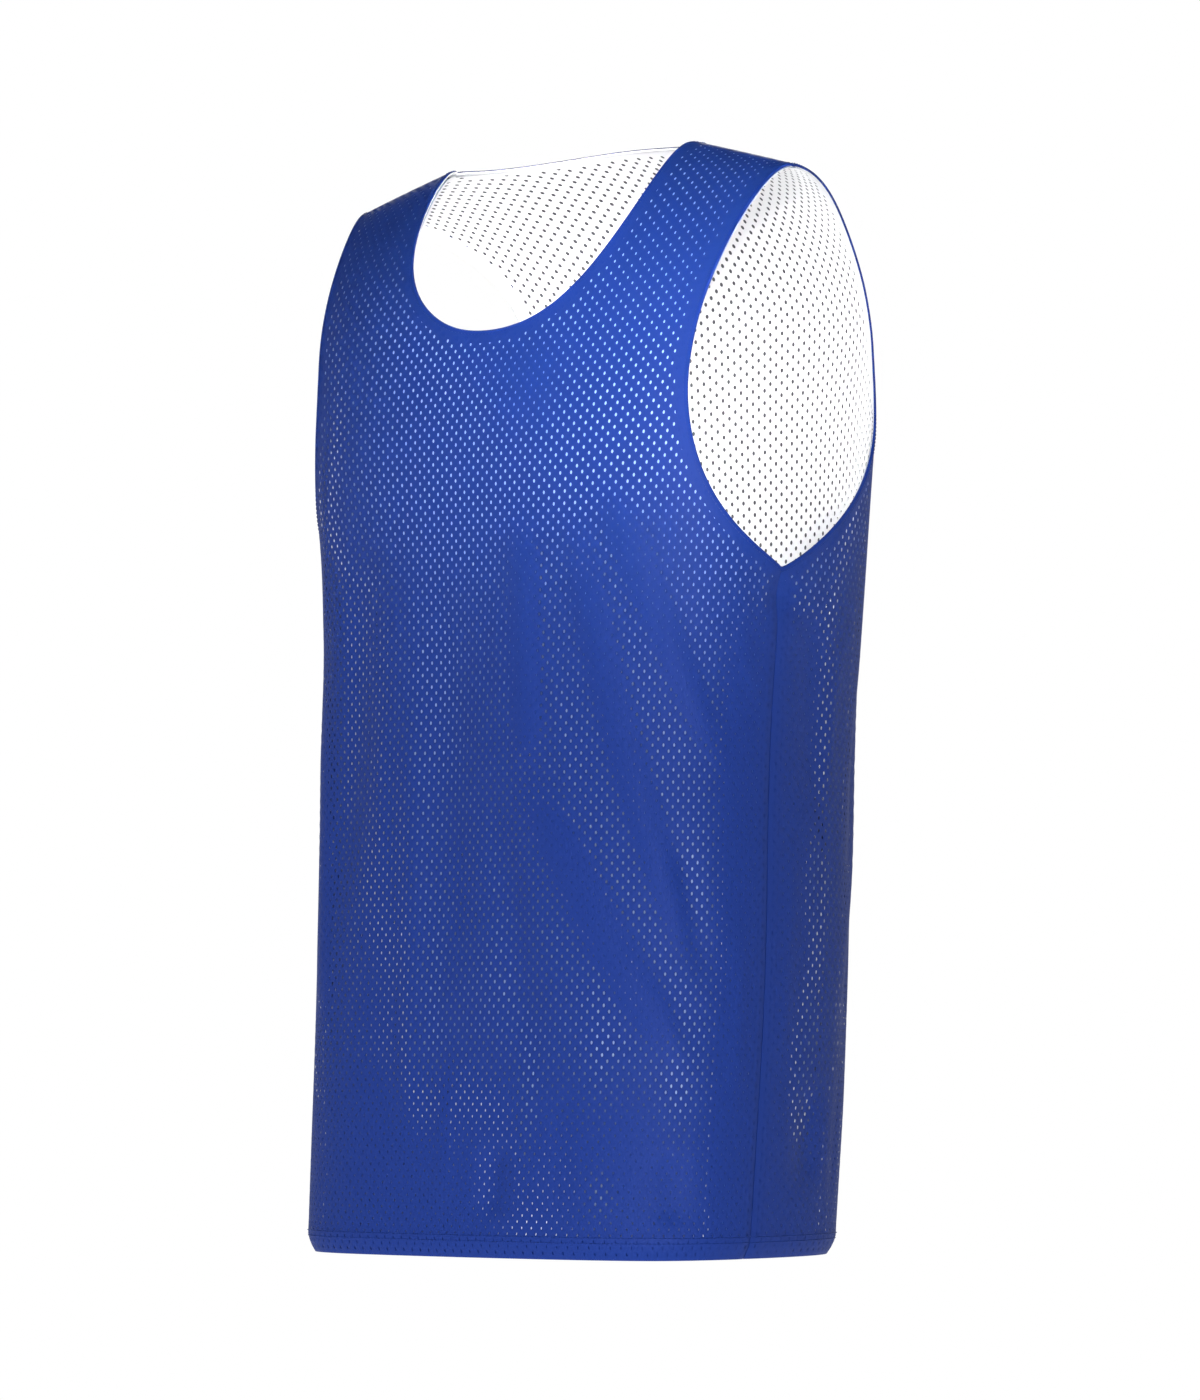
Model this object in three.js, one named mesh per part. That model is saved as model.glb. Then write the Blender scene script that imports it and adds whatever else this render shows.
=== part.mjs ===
// A reversible two-layer mesh basketball jersey, worn and hollow, in millimetres.
// +Z is up, the front faces -Y and +X is the wearer's left. The origin lies midway between the two
// neck points, where the jersey hangs from the shoulders.
//
// Each panel is drawn flat first: s runs across it from its middle line to the side seam, and h runs
// up the cloth from the hem. body() then wraps the flat panel round the rings and over the shoulder.

import * as THREE from 'three';

const hemHeight = -785;
const wall = 1.2;              // thickness of one layer of cloth
const layerGap = 0.4;          // between the blue layer and the white one where they lie together
const seamGap = 0.4;           // between two panels along a seam, measured on the face of the cloth
const squareness = 0.26;       // how far the rings bulge past an ellipse at their corners

// Rings from below the hem to above the shoulders: height, half width at the side seams, depth in front
// of the side seams and behind them, and where the side seams lie from front to back.
const sections = [
  { z: -790, half: 189, front: 94, back: 175, seam: -36 },
  { z: -600, half: 192, front: 98, back: 176, seam: -22 },
  { z: -430, half: 191, front: 101, back: 176, seam: -14 },
  { z: -300, half: 198, front: 103, back: 176, seam: -8 },
  { z: -190, half: 213, front: 100, back: 171, seam: -8 },
  { z: -90, half: 229, front: 78, back: 162, seam: -5 },
  { z: 20, half: 229, front: 43, back: 141, seam: 0 },
];

const shoulder = {
  half: 229,                   // half width of the ring that the shoulders lie on
  slope: 0.295,                // fall of the shoulder line for each mm outward
  level: 112,                  // distance from the middle at which the shoulder line is at height 0
  rounding: 60,                // softens the line towards the middle of the neck
  drop: 124,                   // height over which the cloth rolls from the shoulder into the body
};

// Half panels. quarter: flat half width; warp: evens out the cloth round the ring; roll: depth of the
// roll over the shoulder. Neck and armhole sizes are the handles and drops of their curves. rows: how
// many rows of the mesh end on the middle line above the underarm, and how many on the neckline.
const panels = {
  front: {
    toward: -1, depth: 'front', quarter: 256, warp: -0.185, roll: 78,
    neck: { drop: 160, steep: 24, flat: 103 },
    armhole: { across: 184, narrow: 136, reach: 118, foot: 48 },
    rows: { middle: 5, neck: 9 },
  },
  back: {
    toward: 1, depth: 'back', quarter: 309, warp: -0.045, roll: 128,
    neck: { drop: 31, steep: 20, flat: 60 },
    armhole: { across: 165, narrow: 149, reach: 85, foot: 46 },
    rows: { middle: 10, neck: 4 },
  },
};
const neckPointX = 113.3;
const shoulderTipX = 202;
const underarmHeight = -306.8 - hemHeight;
const underarmSlope = 0.5;
const armholeHandle = 0.45;    // share of the narrow drop that each handle of the upper armhole takes

// Turned edges round the neck and armholes: both layers turned in together and stitched down.
const edge = { width: 9, proud: 0.25, round: 0.7, gap: 0.4 };
const hem = { band: 16, step: 1.5, proud: 0.7, pullIn: 5, innerShort: 6 };

// Soft folds on the flat panels: the middle line from top to bottom, how far it bows aside, its half
// width and its height. Folds with lift stand up in the outer layer alone, and the white stays behind.
const folds = {
  front: [
    { s0: 82, h0: 540, s1: 214, h1: 150, bow: -12, width: 13, height: 3.2, lift: true },
    { s0: 100, h0: 548, s1: 218, h1: 322, bow: 0, width: 12, height: 2.8, lift: true },
    { s0: 43, h0: 535, s1: 57, h1: 322, bow: 0, width: 12, height: 2.6, lift: true },
    { s0: 53, h0: 352, s1: 206, h1: 105, bow: -12, width: 18, height: 3.0, lift: true },
    { s0: -35, h0: 505, s1: -14, h1: 165, bow: 3, width: 30, height: -4.0, lift: false },
    { s0: 12, h0: 355, s1: 66, h1: 110, bow: 4, width: 17, height: -3.2, lift: false },
    { s0: 174, h0: 305, s1: 200, h1: 175, bow: 0, width: 12, height: -3.4, lift: false },
    { s0: 33, h0: 84, s1: 34, h1: 22, bow: 0, width: 13, height: -3.0, lift: false },
    { s0: 177, h0: 78, s1: 182, h1: 18, bow: 0, width: 15, height: -3.6, lift: false },
    { s0: -64, h0: 430, s1: -54, h1: 40, bow: 4, width: 14, height: 2.2, lift: false },
    { s0: -112, h0: 540, s1: -140, h1: 210, bow: 8, width: 20, height: -3.4, lift: false },
    { s0: -178, h0: 440, s1: -150, h1: 120, bow: 0, width: 14, height: 2.8, lift: true },
    { s0: -205, h0: 330, s1: -212, h1: 60, bow: 0, width: 17, height: -3.2, lift: false },
  ],
  back: [
    { s0: 279, h0: 470, s1: 266, h1: 300, bow: 0, width: 13, height: -1.6, lift: false },
    { s0: 258, h0: 126, s1: 257, h1: 42, bow: 0, width: 16, height: -3.2, lift: false },
    { s0: 118, h0: 560, s1: 224, h1: 150, bow: -14, width: 15, height: 3.2, lift: true },
    { s0: 168, h0: 430, s1: 196, h1: 90, bow: 6, width: 20, height: -3.4, lift: false },
    { s0: 34, h0: 500, s1: 8, h1: 130, bow: 6, width: 28, height: -4.0, lift: false },
    { s0: -62, h0: 580, s1: -112, h1: 290, bow: 8, width: 14, height: 3.0, lift: true },
    { s0: -150, h0: 520, s1: -128, h1: 170, bow: 0, width: 22, height: -3.6, lift: false },
    { s0: -212, h0: 500, s1: -176, h1: 120, bow: 8, width: 15, height: 2.8, lift: true },
    { s0: -96, h0: 130, s1: -92, h1: 30, bow: 0, width: 16, height: -3.2, lift: false },
    { s0: -262, h0: 330, s1: -256, h1: 70, bow: 0, width: 15, height: -2.6, lift: false },
  ],
};
const foldFade = 22;           // folds die out this far from the side seams and the shoulder
const foldEnds = 0.31;         // share of a fold's length over which each end rises from the cloth

// How finely each half panel is divided: columns, and rows along the side seam and the armhole.
const grid = { columns: 14, side: 9, armhole: 14 };

function smooth(t) {
  const c = Math.min(Math.max(t, 0), 1);
  return c * c * (3 - 2 * c);
}

// A value of the rings at a height, along a smooth curve through the table's rows.
function ringValue(z, key) {
  const last = sections.length - 1;
  const height = Math.min(Math.max(z, sections[0].z), sections[last].z);
  let i = 0;
  while (i < last - 1 && height > sections[i + 1].z) i += 1;
  const slope = (k) => {
    const a = sections[Math.max(k - 1, 0)];
    const b = sections[Math.min(k + 1, last)];
    return (b[key] - a[key]) / (b.z - a.z);
  };
  const step = sections[i + 1].z - sections[i].z;
  const t = (height - sections[i].z) / step;
  return (1 + 2 * t) * (1 - t) ** 2 * sections[i][key] + t * (1 - t) ** 2 * step * slope(i)
    + t * t * (3 - 2 * t) * sections[i + 1][key] + t * t * (t - 1) * step * slope(i + 1);
}

// Angle round the ring for a place across the panel: 0 at the middle line, 90 degrees at the side seam.
function ringAngle(panel, s) {
  const a = s / panel.quarter;
  return Math.PI / 2 * a + panel.warp * Math.sin(Math.PI * a);
}

function ringX(half, angle) {
  return half * Math.sin(angle) * (1 + squareness * Math.cos(angle) ** 2);
}

function shoulderLine(panel, s) {
  const x = ringX(shoulder.half, ringAngle(panel, s));
  return shoulder.slope * (Math.hypot(shoulder.level, shoulder.rounding) - Math.hypot(x, shoulder.rounding));
}

// Length of cloth in the roll over the shoulder, and how unevenly the angle runs along it.
function rollOf(panel) {
  const uneven = (shoulder.drop - panel.roll) / (2 * (shoulder.drop + panel.roll));
  return { uneven, length: panel.roll * Math.PI * (0.5 + uneven) };
}

// Height of the shoulder line above the hem, measured along the cloth.
function topOf(panel, s) {
  return shoulderLine(panel, s) - shoulder.drop + rollOf(panel).length - hemHeight;
}

// The flat panel's point (s, h) on the smooth worn form.
function body(panel, s, h) {
  const roll = rollOf(panel);
  const ridge = shoulderLine(panel, s);
  const below = topOf(panel, s) - h;
  const r = Math.min(below / roll.length, 1);
  const tilt = Math.PI / 2 * r + roll.uneven * Math.sin(Math.PI * r);
  const z = r < 1 ? ridge - shoulder.drop * (1 - Math.cos(tilt)) : hemHeight + h;
  const angle = ringAngle(panel, s);
  const depth = ringValue(z, panel.depth) * Math.cos(angle) * (1 + squareness * Math.sin(angle) ** 2);
  const y = ringValue(z, 'seam') + panel.toward * depth * Math.sin(tilt);
  return new THREE.Vector3(ringX(ringValue(z, 'half'), angle), y, z);
}

function outward(panel, s, h) {
  const step = 0.5;
  const across = body(panel, s + step, h).sub(body(panel, s - step, h));
  const up = body(panel, s, h + step).sub(body(panel, s, h - step));
  return across.cross(up).multiplyScalar(-panel.toward).normalize();
}

// Height of the folds at a flat point, for the outer layer or for the one behind it.
function foldHeight(panel, s, h, isOuter) {
  let height = 0;
  for (const fold of folds[panel.depth]) {
    const t = (h - fold.h0) / (fold.h1 - fold.h0);
    const skipped = fold.lift && !isOuter;
    if (t > 0 && t < 1 && !skipped) {
      const middle = fold.s0 + (fold.s1 - fold.s0) * t + fold.bow * 4 * t * (1 - t);
      const along = smooth(Math.min(t, 1 - t) / foldEnds);
      height += fold.height * along * Math.exp(-(((s - middle) / fold.width) ** 2));
    }
  }
  const fade = smooth((panel.quarter - Math.abs(s)) / foldFade) * smooth((topOf(panel, s) - h) / foldFade);
  return height * fade;
}

// The hem draws in a little, because it is turned up and stitched.
function hemDraw(h) {
  return -hem.pullIn * Math.max(1 - h / (hem.band + hem.step), 0);
}

function onCloth(panel, s, h, offset, isOuter) {
  const raise = offset + foldHeight(panel, s, h, isOuter) + hemDraw(h);
  return body(panel, s, h).addScaledVector(outward(panel, s, h), raise);
}

// The place across a panel whose shoulder line lies at this x.
function acrossAt(panel, x) {
  let low = 0;
  let high = panel.quarter;
  for (let i = 0; i < 40; i += 1) {
    const middle = (low + high) / 2;
    if (ringX(shoulder.half, ringAngle(panel, middle)) < x) low = middle;
    else high = middle;
  }
  return low;
}

// Down the cloth, square to the shoulder line at this place.
function offShoulder(panel, s, distance) {
  const fall = topOf(panel, s + 0.5) - topOf(panel, s - 0.5);
  return new THREE.Vector2(fall, -1).multiplyScalar(distance / Math.hypot(fall, 1));
}

// The half neckline from the neck point to the middle line, on the flat panel.
function neckline(panel) {
  const s = acrossAt(panel, neckPointX);
  const top = new THREE.Vector2(s, topOf(panel, s));
  const lowest = top.y - panel.neck.drop;
  return new THREE.CubicBezierCurve(
    top,
    top.clone().add(offShoulder(panel, s, panel.neck.steep)),
    new THREE.Vector2(panel.neck.flat, lowest),
    new THREE.Vector2(0, lowest),
  );
}

// The armhole from the shoulder tip past its narrowest place to the underarm, on the flat panel.
function armholeLine(panel) {
  const s = acrossAt(panel, shoulderTipX);
  const top = new THREE.Vector2(s, topOf(panel, s));
  const across = acrossAt(panel, panel.armhole.across);
  const { narrow, reach, foot } = panel.armhole;
  const line = new THREE.CurvePath();
  line.add(new THREE.CubicBezierCurve(
    top,
    top.clone().add(offShoulder(panel, s, narrow * armholeHandle)),
    new THREE.Vector2(across, top.y - narrow * (1 - armholeHandle)),
    new THREE.Vector2(across, top.y - narrow),
  ));
  line.add(new THREE.CubicBezierCurve(
    new THREE.Vector2(across, top.y - narrow),
    new THREE.Vector2(across, top.y - narrow - reach),
    new THREE.Vector2(panel.quarter - foot, underarmHeight + foot * underarmSlope),
    new THREE.Vector2(panel.quarter, underarmHeight),
  ));
  return line;
}

// Evenly spaced stations on an outline, each with the direction into the cloth, which is as long as
// 1 mm measured on the worn form. turn is +1 where the cloth lies on the left of the line's travel and
// -1 on the right. The last station takes its given direction, so that the front's and the back's
// edges meet in a mitre there.
function stations(panel, line, count, turn, lastInward) {
  const list = [];
  for (let i = 0; i <= count; i += 1) {
    const point = line.getPointAt(i / count);
    const along = line.getTangentAt(i / count);
    const inward = new THREE.Vector2(-along.y, along.x).multiplyScalar(turn);
    list.push({ point, inward });
  }
  list[count].inward = lastInward;
  for (const { point, inward } of list.slice(0, count)) {
    const there = point.clone().add(inward);
    const stretch = body(panel, there.x, there.y).distanceTo(body(panel, point.x, point.y));
    inward.divideScalar(stretch);
  }
  return list;
}

function neckStations(panel) {
  return stations(panel, neckline(panel), panel.rows.neck, 1, new THREE.Vector2(0, -1));
}

function armholeStations(panel) {
  const mitre = new THREE.Vector2(0, -Math.hypot(1, underarmSlope));
  return stations(panel, armholeLine(panel), grid.armhole, -1, mitre);
}

function inset(station, distance) {
  return station.point.clone().addScaledVector(station.inward, distance);
}

// Flat points of a half panel: rows from the hem up, and columns from the middle line outward. Below
// the underarm the rows are level, and above it they run straight from the middle line or the neckline
// to the armhole.
function halfPanel(panel, firstRow) {
  const parted = edge.width + edge.gap;
  const sideLine = panel.quarter - seamGap / 2;
  const trimmed = (list) => list.reverse().map((station) => {
    const p = inset(station, parted);
    p.x = Math.min(p.x, sideLine);
    return p;
  });
  const neck = trimmed(neckStations(panel));
  const arm = trimmed(armholeStations(panel));
  const underarm = arm[0].y;
  const banded = hem.band + hem.step;
  const heights = [firstRow, hem.band, banded];
  for (let j = 1; j <= grid.side; j += 1) heights.push(banded + (underarm - banded) * j / grid.side);
  const left = heights.map((h) => new THREE.Vector2(0, h));
  const right = heights.map((h) => new THREE.Vector2(sideLine, h));
  for (let j = 1; j < panel.rows.middle; j += 1) {
    left.push(new THREE.Vector2(0, underarm + (neck[0].y - underarm) * j / panel.rows.middle));
  }
  left.push(...neck);
  right.push(...arm.slice(1));
  return left.map((inner, j) => (
    Array.from({ length: grid.columns + 1 }, (_, i) => {
      const p = inner.clone().lerp(right[j], i / grid.columns);
      const isTop = j === left.length - 1;
      p.y = isTop ? topOf(panel, p.x) - seamGap / 2 : p.y;
      return p;
    })
  ));
}

// A closed solid from its corner points and four-sided faces, turned so that its faces point out.
function solid(points, quads) {
  const indices = quads.flatMap(([a, b, c, d]) => [a, b, c, a, c, d]);
  let volume = 0;
  for (let i = 0; i < indices.length; i += 3) {
    const [a, b, c] = [points[indices[i]], points[indices[i + 1]], points[indices[i + 2]]];
    volume += a.dot(b.clone().cross(c));
  }
  if (volume < 0) indices.reverse();
  const geometry = new THREE.BufferGeometry();
  geometry.setFromPoints(points);
  geometry.setIndex(indices);
  geometry.computeVertexNormals();
  return geometry;
}

// A panel's wall between two offsets from the face of the cloth. Its two halves share the middle line up
// to the neckline, and its turned-up hem is thicker on the outer layer.
function panelWall(panel, outerOffset, isOuter, firstRow) {
  const rows = halfPanel(panel, firstRow);
  const side = grid.columns;
  const last = rows.length - 1;
  const neckRow = last - panel.rows.neck;
  const hemRows = 2;
  const count = 2 * rows.length * (side + 1);
  const at = (mirror, i, j) => {
    const half = mirror < 0 && (i > 0 || j > neckRow) ? 1 : 0;
    return (half * rows.length + j) * (side + 1) + i;
  };
  const face = (offset, hemProud) => [1, -1].flatMap((mirror) => rows.flatMap((row, j) => row.map((p) => {
    const thicker = j < hemRows ? hemProud : 0;
    return onCloth(panel, p.x * mirror, p.y, offset + thicker, isOuter);
  })));
  const points = [...face(outerOffset, isOuter ? hem.proud : 0), ...face(outerOffset - wall, 0)];
  const quads = [];
  for (const mirror of [1, -1]) {
    for (let j = 0; j < last; j += 1) {
      for (let i = 0; i < side; i += 1) {
        const [near, far] = mirror > 0 ? [i, i + 1] : [i + 1, i];
        const [a, b] = [at(mirror, near, j), at(mirror, far, j)];
        const [c, d] = [at(mirror, far, j + 1), at(mirror, near, j + 1)];
        quads.push([a, b, c, d], [a + count, d + count, c + count, b + count]);
      }
    }
  }
  const steps = (from, to) => (
    Array.from({ length: Math.abs(to - from) }, (_, k) => from + k * Math.sign(to - from))
  );
  const rim = [
    ...steps(side, 0).map((i) => at(-1, i, 0)),
    ...steps(0, side).map((i) => at(1, i, 0)),
    ...steps(0, last).map((j) => at(1, side, j)),
    ...steps(side, 0).map((i) => at(1, i, last)),
    ...steps(last, neckRow).map((j) => at(1, 0, j)),
    ...steps(neckRow, last).map((j) => at(-1, 0, j)),
    ...steps(0, side).map((i) => at(-1, i, last)),
    ...steps(last, 0).map((j) => at(-1, side, j)),
  ];
  rim.forEach((a, k) => {
    const b = rim[(k + 1) % rim.length];
    quads.push([a, a + count, b + count, b]);
  });
  return solid(points, quads);
}

// A turned edge: a flat strip with a rounded rim that runs round a closed line of stations.
function turnedEdge(loop) {
  const outer = edge.proud;
  const inner = -(2 * wall + layerGap) - edge.proud;
  const profile = [
    { across: edge.width, off: outer },
    { across: edge.round, off: outer },
    { across: 0, off: outer - edge.round },
    { across: 0, off: inner + edge.round },
    { across: edge.round, off: inner },
    { across: edge.width, off: inner },
  ];
  const points = loop.flatMap(({ panel, station, mirror }) => profile.map(({ across, off }) => {
    const p = inset(station, across);
    return onCloth(panel, p.x * mirror, p.y, off, true);
  }));
  const quads = [];
  loop.forEach((_, k) => {
    const next = (k + 1) % loop.length;
    profile.forEach((__, m) => {
      const n = (m + 1) % profile.length;
      const [a, b] = [k * profile.length, next * profile.length];
      quads.push([a + m, b + m, b + n, a + n]);
    });
  });
  return solid(points, quads);
}

function neckLoop() {
  const along = (name, mirror) => (
    neckStations(panels[name]).map((station) => ({ panel: panels[name], station, mirror }))
  );
  const frontLeft = along('front', 1);
  const frontRight = along('front', -1).reverse().slice(1);
  const backRight = along('back', -1).slice(1);
  const backLeft = along('back', 1).reverse().slice(1, -1);
  return [...frontLeft, ...frontRight, ...backRight, ...backLeft];
}

function armholeLoop(mirror) {
  const along = (name) => (
    armholeStations(panels[name]).map((station) => ({ panel: panels[name], station, mirror }))
  );
  return [...along('front'), ...along('back').reverse().slice(1, -1)];
}

const royalMesh = new THREE.MeshStandardMaterial({ color: 0x2444a4, roughness: 0.72, metalness: 0 });
const whiteMesh = new THREE.MeshStandardMaterial({ color: 0xf2f3f5, roughness: 0.8, metalness: 0 });
const royalEdge = new THREE.MeshStandardMaterial({ color: 0x1f3c96, roughness: 0.72, metalness: 0 });

const jersey = new THREE.Group();

function addPiece(name, geometry, material) {
  const mesh = new THREE.Mesh(geometry, material);
  mesh.name = name;
  jersey.add(mesh);
}

const behind = -(wall + layerGap);
for (const [name, panel] of Object.entries(panels)) {
  addPiece(`outer_${name}`, panelWall(panel, 0, true, 0), royalMesh);
  addPiece(`inner_${name}`, panelWall(panel, behind, false, hem.innerShort), whiteMesh);
}
addPiece('neck_edge', turnedEdge(neckLoop()), royalEdge);
addPiece('armhole_edge_left', turnedEdge(armholeLoop(1)), royalEdge);
addPiece('armhole_edge_right', turnedEdge(armholeLoop(-1)), royalEdge);

export default jersey;
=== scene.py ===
import math

import bpy
import numpy as np
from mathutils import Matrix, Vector


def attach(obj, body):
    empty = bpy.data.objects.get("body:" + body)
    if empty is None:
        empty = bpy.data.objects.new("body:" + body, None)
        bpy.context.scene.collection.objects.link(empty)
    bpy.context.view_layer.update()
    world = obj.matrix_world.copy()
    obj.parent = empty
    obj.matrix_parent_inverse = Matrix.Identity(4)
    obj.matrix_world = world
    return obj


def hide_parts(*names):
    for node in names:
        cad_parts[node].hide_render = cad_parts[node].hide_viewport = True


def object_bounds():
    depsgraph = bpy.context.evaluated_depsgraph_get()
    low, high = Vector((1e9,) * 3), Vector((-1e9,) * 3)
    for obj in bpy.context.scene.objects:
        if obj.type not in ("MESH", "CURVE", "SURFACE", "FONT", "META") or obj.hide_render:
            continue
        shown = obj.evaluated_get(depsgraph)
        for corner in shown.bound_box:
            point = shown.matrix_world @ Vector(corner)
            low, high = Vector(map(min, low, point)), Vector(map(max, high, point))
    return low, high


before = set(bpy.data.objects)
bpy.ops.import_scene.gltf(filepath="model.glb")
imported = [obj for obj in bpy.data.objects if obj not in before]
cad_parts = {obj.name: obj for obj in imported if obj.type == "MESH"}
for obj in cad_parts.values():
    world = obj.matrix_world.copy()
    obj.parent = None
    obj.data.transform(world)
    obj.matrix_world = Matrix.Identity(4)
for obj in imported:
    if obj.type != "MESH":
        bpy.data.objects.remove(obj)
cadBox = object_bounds()
mm = 0.001                      # the pattern is drawn in millimetres, and the meshes are in metres

# Reversible mesh basketball jersey, worn and hollow. Every piece is drawn on the flat panel first: s runs
# across from the panel's middle line to the side seam, h runs up the cloth from the hem.

# the worn form

hemHeight = -785.0
squareness = 0.26               # how far the rings bulge past an ellipse at their corners
rings = {                       # rows from below the hem to above the shoulders
    "z": np.array([-790.0, -600.0, -430.0, -300.0, -190.0, -90.0, 20.0]),
    "half": np.array([189.0, 192.0, 191.0, 198.0, 213.0, 229.0, 229.0]),
    "front": np.array([94.0, 98.0, 101.0, 103.0, 100.0, 78.0, 43.0]),
    "back": np.array([175.0, 176.0, 176.0, 176.0, 171.0, 162.0, 141.0]),
    "seam": np.array([-36.0, -22.0, -14.0, -8.0, -8.0, -5.0, 0.0]),
}
shoulder = {"half": 229.0, "slope": 0.295, "level": 112.0, "rounding": 60.0, "drop": 124.0}
front = {
    "name": "front", "toward": -1.0, "quarter": 256.0, "warp": -0.185, "roll": 78.0,
    "neck": {"drop": 160.0, "steep": 24.0, "flat": 103.0},
    "armhole": {"across": 184.0, "narrow": 136.0, "reach": 118.0, "foot": 48.0},
}
back = {
    "name": "back", "toward": 1.0, "quarter": 309.0, "warp": -0.045, "roll": 128.0,
    "neck": {"drop": 31.0, "steep": 20.0, "flat": 60.0},
    "armhole": {"across": 165.0, "narrow": 149.0, "reach": 85.0, "foot": 46.0},
}
neckPointX = 113.3
shoulderTipX = 202.0
underarmHeight = -306.8 - hemHeight
underarmSlope = 0.5
armholeHandle = 0.45


# The rings' value at a height: a smooth cubic through the rows, with each row's slope from its neighbours.
def ringValue(z, key):
    rows, values = rings["z"], rings[key]
    slopes = np.gradient(values, rows)
    slopes[1:-1] = (values[2:] - values[:-2]) / (rows[2:] - rows[:-2])
    z = np.clip(z, rows[0], rows[-1])
    i = np.clip(np.searchsorted(rows, z, side="right") - 1, 0, len(rows) - 2)
    step = rows[i + 1] - rows[i]
    t = (z - rows[i]) / step
    return ((1 + 2 * t) * (1 - t) ** 2 * values[i] + t * (1 - t) ** 2 * step * slopes[i]
            + t * t * (3 - 2 * t) * values[i + 1] + t * t * (t - 1) * step * slopes[i + 1])


# Quarter turn times the share of the panel's width, plus a sine that evens out the cloth.
def ringAngle(panel, s):
    a = s / panel["quarter"]
    return np.pi / 2 * a + panel["warp"] * np.sin(np.pi * a)


# Place sideways on a ring: the half width times the angle's sine, bulged toward the corners.
def ringX(half, angle):
    return half * np.sin(angle) * (1 + squareness * np.cos(angle) ** 2)


# Height of the shoulder line: it falls by its slope for each mm outward, rounded at the middle.
def shoulderLine(panel, s):
    x = ringX(shoulder["half"], ringAngle(panel, s))
    r = shoulder["rounding"]
    return shoulder["slope"] * (math.hypot(shoulder["level"], r) - np.hypot(x, r))


# The turn over the shoulder: how unevenly the cloth bends there, and how much cloth it takes.
def rollOf(panel):
    uneven = (shoulder["drop"] - panel["roll"]) / (2 * (shoulder["drop"] + panel["roll"]))
    return uneven, panel["roll"] * math.pi * (0.5 + uneven)


# Height up the cloth where the panel ends: the shoulder line less its drop, plus the cloth in the turn.
def topOf(panel, s):
    return shoulderLine(panel, s) - shoulder["drop"] + rollOf(panel)[1] - hemHeight


# The flat point on the worn form: round the ring at its height, and over the shoulder by a quarter turn.
def body(panel, s, h):
    uneven, length = rollOf(panel)
    ridge = shoulderLine(panel, s)
    r = (topOf(panel, s) - h) / length
    tilt = np.pi / 2 * np.minimum(r, 1) + uneven * np.sin(np.pi * np.minimum(r, 1))
    z = np.where(r < 1, ridge - shoulder["drop"] * (1 - np.cos(tilt)), hemHeight + h)
    angle = ringAngle(panel, s)
    depth = ringValue(z, panel["name"]) * np.cos(angle) * (1 + squareness * np.sin(angle) ** 2)
    y = ringValue(z, "seam") + panel["toward"] * depth * np.sin(tilt)
    return np.stack([ringX(ringValue(z, "half"), angle), y, z], -1)


# Unit normal out of the panel: the cross product of a short step across and a short step up.
def outward(panel, s, h, step=0.5):
    across = body(panel, s + step, h) - body(panel, s - step, h)
    up = body(panel, s, h + step) - body(panel, s, h - step)
    n = np.cross(across, up) * -panel["toward"]
    return n / np.linalg.norm(n, axis=-1, keepdims=True)


# Nothing below 0, all above 1, and three times the square less twice the cube between.
def smooth(t):
    t = np.clip(t, 0, 1)
    return t * t * (3 - 2 * t)


# folds and hang

foldColumns = ("s0", "h0", "s1", "h1", "bow", "width", "height", "lift")
folds = {                       # lift 1 stands up in the blue layer alone, and the white stays behind
    "front": [
        (82, 540, 214, 150, -12, 13, 3.2, 1), (100, 548, 218, 322, 0, 12, 2.8, 1),
        (43, 535, 57, 322, 0, 12, 2.6, 1), (53, 352, 206, 105, -12, 18, 3.0, 1),
        (-35, 505, -14, 165, 3, 30, -4.0, 0), (12, 355, 66, 110, 4, 17, -3.2, 0),
        (174, 305, 200, 175, 0, 12, -3.4, 0), (33, 84, 34, 22, 0, 13, -3.0, 0),
        (177, 78, 182, 18, 0, 15, -3.6, 0), (-64, 430, -54, 40, 4, 14, 2.2, 0),
        (-112, 540, -140, 210, 8, 20, -3.4, 0), (-178, 440, -150, 120, 0, 14, 2.8, 1),
        (-205, 330, -212, 60, 0, 17, -3.2, 0),
    ],
    "back": [
        (279, 470, 266, 300, 0, 13, -1.6, 0), (258, 126, 257, 42, 0, 16, -3.2, 0),
        (118, 560, 224, 150, -14, 15, 3.2, 1), (168, 430, 196, 90, 6, 20, -3.4, 0),
        (34, 500, 8, 130, 6, 28, -4.0, 0), (-62, 580, -112, 290, 8, 14, 3.0, 1),
        (-150, 520, -128, 170, 0, 22, -3.6, 0), (-212, 500, -176, 120, 8, 15, 2.8, 1),
        (-96, 130, -92, 30, 0, 16, -3.2, 0), (-262, 330, -256, 70, 0, 15, -2.6, 0),
    ],
}
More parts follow.
